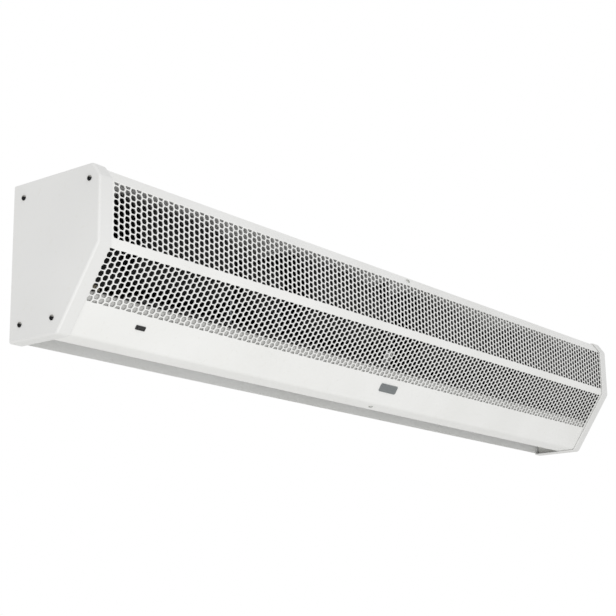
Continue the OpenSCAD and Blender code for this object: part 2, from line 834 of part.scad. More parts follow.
// A lead that leaves the box at exit_y, drops to the deck and runs along it to motor m
module motor_lead(m, y, exit_y, run_out) {
  drop_x = box_x + box_l + run_out;
  lead([
    [box_x + box_l - lead_tail, exit_y, lead_exit_z], [drop_x, exit_y, lead_exit_z],
    [drop_x, exit_y, lead_z], [drop_x, y, lead_z], [m, y, lead_z], [m, y, motor_under(y + lead_r)]
  ]);
}

module left_motor_lead() { motor_lead(-motor_x, left_lead_y, lead_exit_ys[0], 2 * lead_run_out); }
module right_motor_lead() { motor_lead(motor_x, right_lead_y, lead_exit_ys[1], lead_run_out); }

switch_depth = 20;
function slope_point(drop, depth) =
  skin[2] + drop * slope_way + depth * slope_in;
switch_back = slope_point(switch_drop, switch_depth + seat);
switch_lead_y = switch_back[0];

module switch_lead() {
  x = switch_x - casing_w / 2;
  turn_z = deck_z - lead_bend - lead_r;
  lead([
    [x, switch_lead_y, switch_back[1] + lead_r * slope_in[0] / slope_in[1]],
    [x, switch_lead_y, turn_z], [switch_lead_x, switch_lead_y, turn_z],
    [switch_lead_x, switch_lead_y, deck_top + lead_tail]
  ]);
}

rocker_l = 13.6;
rocker_w = 4.8;
pivot_depth = 3;
trunnion_r = 1.2;
frame_t = 1.4;
well_l = rocker_l + 1.8;
well_w = rocker_w + 0.4;
module switch_body() {
  color(black_plastic) on_slope(switch_x - casing_w / 2, switch_drop) difference() {
    union() {
      translate([-frame_l / 2, -frame_w / 2, -frame_t]) cube([frame_l, frame_w, frame_t]);
      translate([-case_l / 2, -case_w / 2, -frame_t]) cube([case_l, case_w, switch_depth + frame_t]);
    }
    translate([-well_l / 2, -well_w / 2, -frame_t - through]) cube([well_l, well_w, 12]);
    translate([0, 0, pivot_depth]) rotate([90, 0, 0])
      cylinder(r = trunnion_r + run_gap, h = case_w - 1.2, center = true);
  }
}

module switch_rocker() {
  half = rocker_l / 2;
  color(black_plastic) on_slope(switch_x - casing_w / 2, switch_drop) {
    rotate([90, 0, 0]) linear_extrude(rocker_w, center = true) polygon([
      [-half, -1.9], [0, -0.7], [half, -1.9], [half - 0.4, 1.5], [3, 6], [-3, 6], [-half + 0.4, 1.5]
    ]);
    translate([0, 0, pivot_depth]) rotate([90, 0, 0])
      cylinder(r = trunnion_r, h = case_w - 1.6, center = true);
  }
}

label_t = 1.2;
module rating_plate() {
  corner = 3;
  color("#5c5f62") on_slope(label_x, switch_drop) translate([0, 0, -label_t]) {
    translate([-label_l / 2, -label_h / 2 + corner, 0]) cube([label_l, label_h - 2 * corner, label_t]);
    translate([-label_l / 2 + corner, -label_h / 2, 0]) cube([label_l - 2 * corner, label_h, label_t]);
    for (u = [-1, 1], v = [-1, 1])
      translate([u * (label_l / 2 - corner), v * (label_h / 2 - corner), 0])
        cylinder(r = corner, h = label_t);
  }
}

// ---------------------------------------------------------------- fasteners

module hanging_nuts() {
  barrel_l = 15;
  color(zinc) for (x = [-fix_w / 2, fix_w / 2], y = [-hang_back, -hang_back - hang_d])
    translate([x, y, under[4][1]]) difference() {
      union() {
        cylinder(r = nut_flange_r, h = nut_flange_t);
        translate([0, 0, -barrel_l]) cylinder(r = nut_barrel_r, h = barrel_l);
      }
      translate([0, 0, -barrel_l - through])
        cylinder(r = hang_r, h = barrel_l + nut_flange_t + 2 * through);
    }
}

module end_plate_screws() {
  color(zinc) for (s = [0, 1]) mirror([s, 0, 0]) at_left_end()
    for (p = end_screws) translate([0, p[0], p[1]]) rotate([0, 90, 0]) screw(end_screw_l);
}

module front_panel_screws() {
  color(zinc) {
    at_lip_screw() screw(8);
    at_foot_screw() screw(8);
  }
}

module housing_screws() {
  color(zinc) for (x = housing_xs, s = [-1, 1], y = tab_screw_ys)
    translate([x + s * tab_x, y, deck_top + sheet_t]) mirror([0, 0, 1]) screw(5);
}

module cradle_screws() {
  color(zinc) for (m = [-motor_x, motor_x], s = [-1, 1], u = [-1, 1])
    translate([m + s * cradle_screw_x, axis_y + u * cradle_screw_y, deck_top + cradle_t])
      mirror([0, 0, 1]) screw(6);
}

left_end_plate();
right_end_plate();
left_bulkhead();
right_bulkhead();
back_panel();
top_panel();
front_panel();
blower_deck();
nozzle_front_wall();
centre_support();
housing(housing_xs[0]);  // blower_housing_1
housing(housing_xs[1]);  // blower_housing_2
housing(housing_xs[2]);  // blower_housing_3
housing(housing_xs[3]);  // blower_housing_4
wheel(housing_xs[0]);  // blower_wheel_1
wheel(housing_xs[1]);  // blower_wheel_2
wheel(housing_xs[2]);  // blower_wheel_3
wheel(housing_xs[3]);  // blower_wheel_4
motor_case(-motor_x);  // left_motor_case
motor_case(motor_x);  // right_motor_case
stator(-motor_x);  // left_motor_stator
stator(motor_x);  // right_motor_stator
motor_windings();
motor_bushes();
rotor_core(-motor_x);  // left_rotor_core
rotor_core(motor_x);  // right_rotor_core
shaft(-motor_x);  // left_shaft
shaft(motor_x);  // right_shaft
motor_cradle(-motor_x);  // left_motor_cradle
motor_cradle(motor_x);  // right_motor_cradle
motor_rubber_rings();
vane(front_vane_y);  // front_vane
vane(rear_vane_y);  // rear_vane
vane_pins(front_vane_y);  // front_vane_pins
vane_pins(rear_vane_y);  // rear_vane_pins
vane_link_bar();
vane_bearing(-1);  // left_vane_bearing
vane_bearing(1);  // right_vane_bearing
electrical_box();
electrical_box_cover();
terminal_block();
capacitors();
cable_grommet();
lead_grommets();
left_motor_lead();
right_motor_lead();
switch_lead();
switch_body();
switch_rocker();
rating_plate();
hanging_nuts();
end_plate_screws();
front_panel_screws();
housing_screws();
cradle_screws();
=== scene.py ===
import math

import bpy
from mathutils import Matrix, Vector
from mathutils.geometry import tessellate_polygon


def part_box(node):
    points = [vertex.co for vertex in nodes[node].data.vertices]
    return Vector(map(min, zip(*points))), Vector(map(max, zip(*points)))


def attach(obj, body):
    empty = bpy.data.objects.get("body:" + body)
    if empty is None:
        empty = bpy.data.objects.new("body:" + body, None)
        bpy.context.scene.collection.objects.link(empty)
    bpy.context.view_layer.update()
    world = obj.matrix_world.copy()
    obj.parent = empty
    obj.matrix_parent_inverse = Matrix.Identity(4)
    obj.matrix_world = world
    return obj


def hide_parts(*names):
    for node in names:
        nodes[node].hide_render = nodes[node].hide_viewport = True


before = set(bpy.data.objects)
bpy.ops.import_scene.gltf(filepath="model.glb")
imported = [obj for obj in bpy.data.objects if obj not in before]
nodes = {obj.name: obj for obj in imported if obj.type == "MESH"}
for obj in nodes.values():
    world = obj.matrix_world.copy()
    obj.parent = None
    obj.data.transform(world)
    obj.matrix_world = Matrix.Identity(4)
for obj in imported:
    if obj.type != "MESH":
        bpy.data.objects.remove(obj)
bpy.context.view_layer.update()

mm = 0.001
close = 1e-3  # mm, under which two places on a sheet count as one
print("frame loaded:", len(nodes), "nodes")


# ---------- camera and light ----------

# the photograph's camera, fitted to the corners of the case
photoCamera = {
    "place": (-2015.4, -1468.5, -571.1),  # mm from the wall fixing holes' centre
    "yaw": 52.802,  # degrees, from +Y towards +X
    "pitch": 13.992,
    "roll": -0.948,
    "focal": 1404.75,  # in pixels of the photograph
    "picture": 616,
    "sensor": 36,  # mm
}


def aimCamera(spec):
    yaw, pitch, roll = (math.radians(spec[k]) for k in ("yaw", "pitch", "roll"))
    ahead = Vector((math.sin(yaw) * math.cos(pitch), math.cos(yaw) * math.cos(pitch), math.sin(pitch)))
    level = Vector((math.cos(yaw), -math.sin(yaw), 0))
    up = level.cross(ahead)
    right = level * math.cos(roll) + up * math.sin(roll)
    up = up * math.cos(roll) - level * math.sin(roll)
    data = bpy.data.cameras.new("camera")
    data.sensor_width = spec["sensor"]
    data.lens = spec["focal"] / spec["picture"] * spec["sensor"]
    cam = bpy.data.objects.new("camera", data)
    turn = Matrix((right, up, -ahead)).transposed().to_4x4()
    cam.matrix_world = Matrix.Translation(Vector(spec["place"]) * mm) @ turn
    bpy.context.scene.collection.objects.link(cam)
    bpy.context.scene.camera = cam


def linear(hexColour):
    parts = [int(hexColour[i:i + 2], 16) / 255 for i in (1, 3, 5)]
    return tuple(c / 12.92 if c <= 0.04045 else ((c + 0.055) / 1.055) ** 2.4 for c in parts) + (1,)


# adds a node; a setting is an input's value or else a property, and links go from sockets to inputs
def addNode(tree, kind, settings={}, links={}):
    node = tree.nodes.new(kind)
    for name, value in settings.items():
        if isinstance(name, int) or name in node.inputs:
            node.inputs[name].default_value = value
        else:
            setattr(node, name, value)
    for name, socket in links.items():
        tree.links.new(socket, node.inputs[name])
    return node


studio = {
    "ambient": 0.8,  # strength of the even light from all sides
    "ambientColour": "#FFFFFF",
    "floorDrop": 4.3,  # metres below the unit, so that every view of it is from above the floor
    "floorSize": 60,
    "floorColour": "#F1F1EF",
    "lamps": {  # place and target in metres, width, and watts
        "corner": ((-3.2, -2.4, 0.5), (-0.7, -0.1, 0.0), 1.4, 12),
        "above": ((-1.3, -1.5, 1.9), (-0.3, -0.1, 0.0), 1.6, 5),
        "below": ((-1.3, -1.9, -2.2), (-0.3, -0.1, -0.1), 1.6, 22),
        "side": ((-3.6, -0.4, -1.2), (-0.7, -0.1, 0.0), 1.6, 5),
    },
}


def lightStudio(spec):
    world = bpy.data.worlds.new("studio")
    bpy.context.scene.world = world
    world.use_nodes = True
    tree = world.node_tree
    tree.nodes.clear()
    path = addNode(tree, "ShaderNodeLightPath")
    shown = addNode(tree, "ShaderNodeMath", {"operation": "MAXIMUM"},
                    {0: path.outputs["Is Camera Ray"], 1: path.outputs["Is Transmission Ray"]})
    light = addNode(tree, "ShaderNodeBackground",
                    {"Color": linear(spec["ambientColour"]), "Strength": spec["ambient"]})
    white = addNode(tree, "ShaderNodeBackground", {"Color": (1, 1, 1, 1), "Strength": 1})
    mix = addNode(tree, "ShaderNodeMixShader",
                  links={0: shown.outputs[0], 1: light.outputs[0], 2: white.outputs[0]})
    addNode(tree, "ShaderNodeOutputWorld", links={"Surface": mix.outputs[0]})
    for name, (place, target, width, watts) in spec["lamps"].items():
        data = bpy.data.lights.new(name + "Lamp", "AREA")
        data.shape = "DISK"
        data.size = width
        data.energy = watts
        lamp = bpy.data.objects.new(name + "Lamp", data)
        lamp.location = place
        lamp.rotation_euler = (Vector(target) - Vector(place)).to_track_quat("-Z", "Y").to_euler()
        bpy.context.scene.collection.objects.link(lamp)


def layFloor(spec):
    half = spec["floorSize"] / 2
    mesh = bpy.data.meshes.new("floor")
    corners = [(-half, -half, 0), (half, -half, 0), (half, half, 0), (-half, half, 0)]
    mesh.from_pydata(corners, [], [(0, 1, 2, 3)])
    floor = bpy.data.objects.new("floor", mesh)
    floor.location.z = -spec["floorDrop"]
    bpy.context.scene.collection.objects.link(floor)
    material = bpy.data.materials.new("paleFloor")  # painted screed, which shows only a soft shadow
    material.use_nodes = True
    tree = material.node_tree
    shader = tree.nodes["Principled BSDF"]
    shader.inputs["Base Color"].default_value = linear(spec["floorColour"])
    shader.inputs["Roughness"].default_value = 0.7
    mesh.materials.append(material)


aimCamera(photoCamera)
lightStudio(studio)
layFloor(studio)
bpy.context.scene.view_settings.view_transform = "Standard"
print("camera, lamps and floor are in place")


# ---------- finishes ----------

# starts a material on a Principled shader and returns it with its tree and coordinates in metres
def startFinish(name, roughness, metallic=0.0, ior=1.5):
    material = bpy.data.materials.new(name)
    material.use_nodes = True
    tree = material.node_tree
    shader = tree.nodes["Principled BSDF"]
    shader.inputs["Roughness"].default_value = roughness
    shader.inputs["Metallic"].default_value = metallic
    if metallic < 1:
        shader.inputs["IOR"].default_value = ior
    place = addNode(tree, "ShaderNodeTexCoord").outputs["Object"]
    return material, tree, shader, place


# noise whose spots are about the given size in mm, stretched along the axes if asked
def spots(tree, place, sizeMm, detail=2.0, stretch=(1, 1, 1), rough=0.5):
    if stretch != (1, 1, 1):
        place = addNode(tree, "ShaderNodeMapping", {"Scale": stretch}, {"Vector": place}).outputs[0]
    return addNode(tree, "ShaderNodeTexNoise",
                   {"Scale": 1 / (sizeMm * mm), "Detail": detail, "Roughness": rough},
                   {"Vector": place}).outputs["Fac"]


# maps a 0 to 1 pattern between two numbers
def between(tree, value, low, high, start=0.3, end=0.7):
    return addNode(tree, "ShaderNodeMapRange",
                   {"From Min": start, "From Max": end, "To Min": low, "To Max": high},
                   {"Value": value}).outputs[0]


def blendColours(tree, factor, first, second):
    settings, links = {}, {"Fac": factor}
    for socket, colour in (("Color1", first), ("Color2", second)):
        if isinstance(colour, str):
            settings[socket] = linear(colour)
        else:
            links[socket] = colour
    return addNode(tree, "ShaderNodeMixRGB", settings, links).outputs["Color"]


# blends two colours by a factor into the base colour
def paint(tree, shader, factor, first, second):
    tree.links.new(blendColours(tree, factor, first, second), shader.inputs["Base Color"])


# lets a pattern, from its start to its end value, move the roughness between two limits
def roughen(tree, shader, pattern, limits, start=0.3, end=0.7):
    tree.links.new(between(tree, pattern, *limits, start, end), shader.inputs["Roughness"])


def addBump(tree, shader, height, depthMm, strength):
    bump = addNode(tree, "ShaderNodeBump", {"Strength": strength, "Distance": depthMm * mm},
                   {"Height": height})
    tree.links.new(bump.outputs[0], shader.inputs["Normal"])


powder = {
    "colour": "#F0F0EF",
    "shade": "#E9E9E7",
    "cloud": 180,  # mm, size of the faint clouds in its tone
    "dust": "#D9D7D0",
    "speck": 9,  # mm, size of the flecks of dust
    "peel": 2.4,  # mm between the ripples of the coat, whose real spacing is about 1.5 mm
    "peelDepth": 0.02,  # mm
    "roughness": (0.36, 0.46),
}
shadedEndPowder = dict(powder, colour="#E5E5E4", shade="#E0E0DF")  # a darker copy of the coat: painted shade on the end plates
shadedInnerPowder = dict(powder, colour="#C2C2C0", shade="#B9B9B7")  # a greyer copy of the coat: painted shade on the inner sheets


# polyester powder coat, sprayed and baked on steel: an even satin white with a faint orange peel
def powderCoat(name, spec):
    material, tree, shader, place = startFinish(name, 0.4)
    cloud = between(tree, spots(tree, place, spec["cloud"]), 0, 1)
    tone = blendColours(tree, cloud, spec["colour"], spec["shade"])
    speck = between(tree, spots(tree, place, spec["speck"], detail=6, rough=0.7), 0, 0.35, 0.58, 0.75)
    paint(tree, shader, speck, tone, spec["dust"])
    peel = spots(tree, place, spec["peel"], detail=1)
    roughen(tree, shader, peel, spec["roughness"])
    addBump(tree, shader, peel, spec["peelDepth"], 0.5)
    return material


# black painted shade for the inside of the casing, where little light comes in through the grille, drawn
# as a felt lining
interiorShade = {
    "colour": "#111112",
    "fleck": "#1D1D1E",
    "fibre": 3.0,  # mm, size of the felt-like tufts in the painted shade, drawn coarser than 1 mm felt so that they show
    "roughness": 0.95,
    "facing": 0.4,  # least cosine between a shaded face's normal and the way that it looks
}


# the same coat, with black painted shade, drawn as felt, between the two levels in metres, on the faces
# that look the way given or, for an inner wall, also on those that look the other way
def paintedShadeCoat(name, spec, shadeSpec, way, levels, bothSides=False):
    material = powderCoat(name, spec)
    tree = material.node_tree
    shader = tree.nodes["Principled BSDF"]
    place = addNode(tree, "ShaderNodeTexCoord").outputs["Object"]
    height = addNode(tree, "ShaderNodeSeparateXYZ", links={"Vector": place}).outputs["Z"]
    facing = addNode(tree, "ShaderNodeNewGeometry").outputs["True Normal"]
    ahead = addNode(tree, "ShaderNodeVectorMath", {"operation": "DOT_PRODUCT", 1: way}, {0: facing})
    turned = ahead.outputs["Value"]
    if bothSides:
        turned = addNode(tree, "ShaderNodeMath", {"operation": "ABSOLUTE"}, {0: turned}).outputs[0]
    inside = addNode(tree, "ShaderNodeMath", {"operation": "GREATER_THAN", 1: shadeSpec["facing"]},
                     {0: turned})
    above = addNode(tree, "ShaderNodeMath", {"operation": "GREATER_THAN", 1: levels[0]}, {0: height})
    below = addNode(tree, "ShaderNodeMath", {"operation": "LESS_THAN", 1: levels[1]}, {0: height})
    level = addNode(tree, "ShaderNodeMath", {"operation": "MULTIPLY"},
                    {0: above.outputs[0], 1: below.outputs[0]})
    shadedMask = addNode(tree, "ShaderNodeMath", {"operation": "MULTIPLY"},
                     {0: inside.outputs[0], 1: level.outputs[0]}).outputs[0]
    tuft = between(tree, spots(tree, place, shadeSpec["fibre"], detail=4), 0, 1)
    black = blendColours(tree, tuft, shadeSpec["colour"], shadeSpec["fleck"])
    coat = shader.inputs["Base Color"].links[0].from_socket
    # paints the black shade over the coat on the masked faces
    paint(tree, shader, shadedMask, coat, black)
    shine = shader.inputs["Roughness"].links[0].from_socket
    dull = addNode(tree, "ShaderNodeMath", {"operation": "MAXIMUM"},
                   {0: shine, 1: between(tree, shadedMask, 0, shadeSpec["roughness"], 0, 1)})
    tree.links.new(dull.outputs[0], shader.inputs["Roughness"])
    return material


spangle = {
    "colour": "#AEB3B6",
    "shade": "#969CA0",
    "crystal": 9,  # mm across
    "frost": 1.2,  # mm, size of the fine unevenness
    "depth": 0.01,  # mm
    "roughness": (0.34, 0.52),
}


# hot-dip galvanised sheet: grey metal in crystals that each shine a little differently
def galvanisedSheet(spec):
    material, tree, shader, place = startFinish("galvanisedSheet", 0.42, 1.0)
    crystal = addNode(tree, "ShaderNodeTexVoronoi", {"Scale": 1 / (spec["crystal"] * mm)},
                      {"Vector": place})
    grey = addNode(tree, "ShaderNodeSeparateXYZ", links={"Vector": crystal.outputs["Color"]}).outputs[0]
    paint(tree, shader, grey, spec["colour"], spec["shade"])
    roughen(tree, shader, grey, spec["roughness"], 0, 1)
    addBump(tree, shader, spots(tree, place, spec["frost"]), spec["depth"], 0.4)
    return material


enamel = {
    "colour": "#0F1011",
    "dust": "#201F1D",
    "film": 40,  # mm, size of the patches of dust
    "grain": 1.8,  # mm
    "depth": 0.02,  # mm
    "roughness": (0.58, 0.8),
    "specular": 0.25,  # the dust takes most of its gloss
}


# stoved black enamel on pressed steel: dark and matt, with a film of dust on it
def blackEnamel(spec):
    material, tree, shader, place = startFinish("blackEnamel", 0.6)
    shader.inputs["Specular IOR Level"].default_value = spec["specular"]
    film = between(tree, spots(tree, place, spec["film"], detail=5, rough=0.6), 0, 0.5, 0.45, 0.75)
    paint(tree, shader, film, spec["colour"], spec["dust"])
    roughen(tree, shader, film, spec["roughness"], 0, 0.5)
    addBump(tree, shader, spots(tree, place, spec["grain"]), spec["depth"], 0.5)
    return material


plating = {
    "colour": "#C3C5C3",
    "tint": "#B4B5AE",
    "cloud": 7,  # mm, size of the tinted patches
    "mark": 1.6,  # mm, size of the machining marks
    "depth": 0.01,  # mm
    "roughness": (0.24, 0.42),
}


# zinc-plated steel: bright silver with a faint warm tint and fine machining marks
def zincPlate(spec):
    material, tree, shader, place = startFinish("zincPlate", 0.3, 1.0)
    tint = between(tree, spots(tree, place, spec["cloud"]), 0, 1)
    paint(tree, shader, tint, spec["colour"], spec["tint"])
    marks = spots(tree, place, spec["mark"], detail=3)
    roughen(tree, shader, marks, spec["roughness"])
    addBump(tree, shader, marks, spec["depth"], 0.4)
    return material


oxide = {
    "colour": "#1E1F21",
    "worn": "#4A4B4D",
    "wear": 1.5,  # mm, size of the worn spots
    # grey of dust and of a painted highlight on the upper side of each head
    "dust": "#A6A49F",
    "dustAndHighlightRise": (0.02, 0.3),  # how far up a face looks, where its grey of dust and painted highlight begins and where it is full
    "grain": 0.8,  # mm
    "depth": 0.01,  # mm
    "roughness": (0.42, 0.3),  # of the plain and the worn metal
}


# black oxide on steel screws: near black, greyer where a driver has rubbed it, with grey on top that is
# partly dust and partly a painted highlight
def blackOxide(spec):
    material, tree, shader, place = startFinish("blackOxide", 0.38, 1.0)
    worn = between(tree, spots(tree, place, spec["wear"], detail=4), 0, 1, 0.5, 0.75)
    facing = addNode(tree, "ShaderNodeNewGeometry").outputs["Normal"]
    upward = addNode(tree, "ShaderNodeSeparateXYZ", links={"Vector": facing}).outputs["Z"]
    tone = blendColours(tree, worn, spec["colour"], spec["worn"])
    # the upward faces turn grey: dust, and a painted highlight on top of the heads
    paint(tree, shader, between(tree, upward, 0, 1, *spec["dustAndHighlightRise"]), tone, spec["dust"])
    roughen(tree, shader, worn, spec["roughness"], 0, 1)
    addBump(tree, shader, spots(tree, place, spec["grain"]), spec["depth"], 0.4)
    return material


extrusion = {
    "colour": "#C9CBCC",
    "shade": "#B3B6B8",
    "line": 1.0,  # mm between the die lines, drawn coarser than the real 0.3 mm so that they show
    "depth": 0.02,  # mm
    "roughness": (0.28, 0.44),
}


# extruded aluminium: pale grey metal with long fine die lines along the vane
def extrudedAluminium(spec):
    material, tree, shader, place = startFinish("extrudedAluminium", 0.36, 1.0)
    lines = spots(tree, place, spec["line"], detail=2, stretch=(0.01, 1, 1))
    paint(tree, shader, lines, spec["colour"], spec["shade"])
    roughen(tree, shader, lines, spec["roughness"])
    addBump(tree, shader, lines, spec["depth"], 0.5)
    return material


can = {"colour": "#BFC1C2", "shade": "#A9ABAC", "line": 1.2, "depth": 0.01}  # both in mm


# drawn aluminium cans: grey metal with faint draw marks up their sides
def drawnAluminium(spec):
    material, tree, shader, place = startFinish("drawnAluminium", 0.34, 1.0)
    lines = spots(tree, place, spec["line"], stretch=(1, 1, 0.02))
    paint(tree, shader, lines, spec["colour"], spec["shade"])
    addBump(tree, shader, lines, spec["depth"], 0.4)
    return material


waveBand = 0.314  # metres between the bands of a wave texture whose scale is 1
laminate = {
    "colour": "#84878A",
    "seam": "#3E4042",
    "sheet": 1.5,  # mm, drawn as thick as three real sheets so that it shows
    "depth": 0.05,  # mm
}


# stacked electrical steel: thin sheets on edge, with dark varnish between them
def steelLaminations(spec):
    material, tree, shader, place = startFinish("steelLaminations", 0.45, 1.0)
    seams = addNode(tree, "ShaderNodeTexWave", {"Scale": waveBand / (spec["sheet"] * mm)},
                    {"Vector": place}).outputs["Fac"]
    paint(tree, shader, between(tree, seams, 1, 0, 0, 0.3), spec["colour"], spec["seam"])
    addBump(tree, shader, seams, spec["depth"], 0.5)
    return material


winding = {
    "colour": "#9A5526",
    "shade": "#6E3717",
    "wire": 1.4,  # mm, drawn thicker than the real 0.7 mm so that it shows
    "depth": 0.3,  # mm
    "varnish": 0.6,
}


# varnished copper wire: orange-brown strands wound side by side under a glossy varnish
def enamelledCopper(spec):
    material, tree, shader, place = startFinish("enamelledCopper", 0.3, 1.0)
    strands = addNode(tree, "ShaderNodeTexWave",
                      {"wave_type": "RINGS", "rings_direction": "X",
                       "Scale": waveBand / (spec["wire"] * mm), "Distortion": 1.0},
                      {"Vector": place}).outputs["Fac"]
    paint(tree, shader, strands, spec["shade"], spec["colour"])
    shader.inputs["Coat Weight"].default_value = spec["varnish"]
    addBump(tree, shader, strands, spec["depth"], 0.6)
    return material


bronze = {"colour": "#9C7A4C", "pore": "#5E4528", "grain": 0.8, "poreDepth": 0.05}  # both in mm


# sintered bronze: dull gold pressed from powder, with tiny dark pores
def sinteredBronze(spec):
    material, tree, shader, place = startFinish("sinteredBronze", 0.5, 1.0)
    pores = between(tree, spots(tree, place, spec["grain"], detail=4), 0, 1, 0.55, 0.7)
    paint(tree, shader, pores, spec["colour"], spec["pore"])
    addBump(tree, shader, pores, -spec["poreDepth"], 0.5)
    return material


rubber = {
    "colour": "#19191A",
    "bloom": "#2C2C2C",
    "cloud": 12,  # mm, size of the patches of bloom
    "grain": 1.0,  # mm
    "depth": 0.02,  # mm
}


# moulded black rubber: very matt, with a faint grey bloom
def blackRubber(spec):
    material, tree, shader, place = startFinish("blackRubber", 0.75, ior=1.52)
    bloom = between(tree, spots(tree, place, spec["cloud"], detail=4), 0, 1)
    paint(tree, shader, bloom, spec["colour"], spec["bloom"])
    addBump(tree, shader, spots(tree, place, spec["grain"]), spec["depth"], 0.5)
    return material


blackNylon = {
    "colour": "#1A1B1C",
    "high": "#242526",
    "grain": 1.0,  # mm, drawn coarser than the real 0.3 mm so that it shows
    "depth": 0.02,  # mm
    "roughness": (0.36, 0.5),
}
whiteNylon = dict(blackNylon, colour="#E6E6E2", high="#DCDCD7")


# injection-moulded nylon: fine even grain with a soft sheen
def mouldedNylon(name, spec):
    material, tree, shader, place = startFinish(name, 0.42, ior=1.53)
    grain = spots(tree, place, spec["grain"], detail=1)
    paint(tree, shader, grain, spec["colour"], spec["high"])
    roughen(tree, shader, grain, spec["roughness"])
    addBump(tree, shader, grain, spec["depth"], 0.4)
    return material


polyamide = {
    "colour": "#DDD7C4",
    "shade": "#CFC8B2",
    "flow": 14,  # mm, size of the flow marks
    "grain": 1.0,  # mm
    "depth": 0.02,  # mm
}


# moulded cream polyamide: a warm off-white with a soft shine and faint flow marks
def creamPolyamide(spec):
    material, tree, shader, place = startFinish("creamPolyamide", 0.4, ior=1.53)
    flow = between(tree, spots(tree, place, spec["flow"], detail=3), 0, 1)
    paint(tree, shader, flow, spec["colour"], spec["shade"])
    addBump(tree, shader, spots(tree, place, spec["grain"]), spec["depth"], 0.3)
    return material


anodised = {
    "colour": "#9A9EA0",
    "shade": "#888C8E",
    "line": 0.8,  # mm between the brush lines, drawn coarser than the real 0.1 mm so that they show
    "depth": 0.01,  # mm
    "roughness": (0.3, 0.44),
}


# anodised aluminium plate, brushed along its length: mid grey with a silky grain
def anodisedPlate(spec):
    material, tree, shader, place = startFinish("anodisedPlate", 0.36, 1.0)
    lines = spots(tree, place, spec["line"], detail=3, stretch=(0.02, 1, 1))
    paint(tree, shader, lines, spec["colour"], spec["shade"])
    roughen(tree, shader, lines, spec["roughness"])
    addBump(tree, shader, lines, spec["depth"], 0.4)
    return material


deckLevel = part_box("nozzle_front_wall")[1].z
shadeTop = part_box("top_panel")[1].z - 1 * mm  # the painted shade reaches from the deck up to the top panel
finishes = {
    "coat": powderCoat("whitePowderCoat", powder),
    # the end plates take the darker copy of the coat, as painted shade
    "shadedEndCoat": powderCoat("shadedEndPlatePowderCoat", shadedEndPowder),
    # the next three paint black shade inside the casing, drawn as felt
    "paintedShadeBack": paintedShadeCoat("paintedShadeBackPanel", powder, interiorShade, (0, -1, 0), (deckLevel, shadeTop)),
    "paintedShadeDeck": paintedShadeCoat("paintedShadeDeck", shadedInnerPowder, interiorShade, (0, -0.6, 0.6),
                                 (deckLevel + 0.2 * mm, shadeTop)),
    "paintedShadeStay": paintedShadeCoat("paintedShadeStay", shadedInnerPowder, interiorShade, (1, 0, 0), (deckLevel, shadeTop),
                                 bothSides=True),
    "galvanised": galvanisedSheet(spangle),
    "enamel": blackEnamel(enamel),
    "zinc": zincPlate(plating),
    "oxide": blackOxide(oxide),
    "extruded": extrudedAluminium(extrusion),
    "drawn": drawnAluminium(can),
    "laminations": steelLaminations(laminate),
    "copper": enamelledCopper(winding),
    "bronze": sinteredBronze(bronze),
    "rubber": blackRubber(rubber),
    "nylon": mouldedNylon("blackNylon", blackNylon),
    "whiteNylon": mouldedNylon("whiteNylon", whiteNylon),
    "cream": creamPolyamide(polyamide),
    "anodised": anodisedPlate(anodised),
}

finishOfNode = {
    "coat": ["top_panel", "front_panel", "nozzle_front_wall"],
    "shadedEndCoat": ["left_end_plate", "right_end_plate"],
    # painted shade: these three are black inside the casing
    "paintedShadeBack": ["back_panel"],
    "paintedShadeDeck": ["blower_deck"],
    "paintedShadeStay": ["centre_support"],
    "galvanised": ["left_motor_cradle", "right_motor_cradle"],
    "enamel": ["blower_housing_1", "blower_housing_2", "blower_housing_3", "blower_housing_4",
               "left_motor_case", "right_motor_case", "left_bulkhead", "right_bulkhead",
               "electrical_box", "electrical_box_cover", "blower_wheel_1", "blower_wheel_2",
               "blower_wheel_3", "blower_wheel_4"],
    "zinc": ["left_shaft", "right_shaft", "front_vane_pins", "rear_vane_pins", "vane_link_bar",
             "hanging_nuts", "housing_screws", "cradle_screws", "front_panel_screws"],
    "oxide": ["end_plate_screws"],
    "extruded": ["front_vane", "rear_vane"],
    "drawn": ["capacitors"],
    "laminations": ["left_motor_stator", "right_motor_stator", "left_rotor_core", "right_rotor_core"],
    "copper": ["motor_windings"],
    "bronze": ["motor_bushes"],
    "rubber": ["motor_rubber_rings", "cable_grommet", "lead_grommets", "left_motor_lead",
               "right_motor_lead", "switch_lead"],
    "nylon": ["switch_body", "switch_rocker"],
    "whiteNylon": ["left_vane_bearing", "right_vane_bearing"],
    "cream": ["terminal_block"],
    "anodised": ["rating_plate"],
}
for finish, names in finishOfNode.items():
    for name in names:
        nodes[name].data.materials.clear()
        nodes[name].data.materials.append(finishes[finish])
print("finishes:", len(finishes))


# ---------- the casing's outline ----------

casing = {  # mm
    "footDepth": 94,  # depth of the underside
    "bendHeight": 115,  # of the front's bend above the underside
    "lipDepth": 15,  # of the sloping lip along the top
    "lipHeight": 21,
    "hem": 3,  # thickness of the end plates' flange
    "plate": 1.5,  # thickness of the end plates
    "flange": 24,  # width of their flange along the unit
    "sheet": 1.2,  # thickness of the front panel
    "seat": 0.3,  # between the front panel and the flanges over it
}
plateLow, plateHigh = (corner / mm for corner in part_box("left_end_plate"))
halfLength = -plateLow.x
floorZ, roofZ, frontY = plateLow.z, plateHigh.z, plateLow.y


def unit(a, b):
    return (b - a).normalized()


# the way into the casing from an edge that goes down the front
def inwardOf(way):
    return Vector((-way.y, way.x))


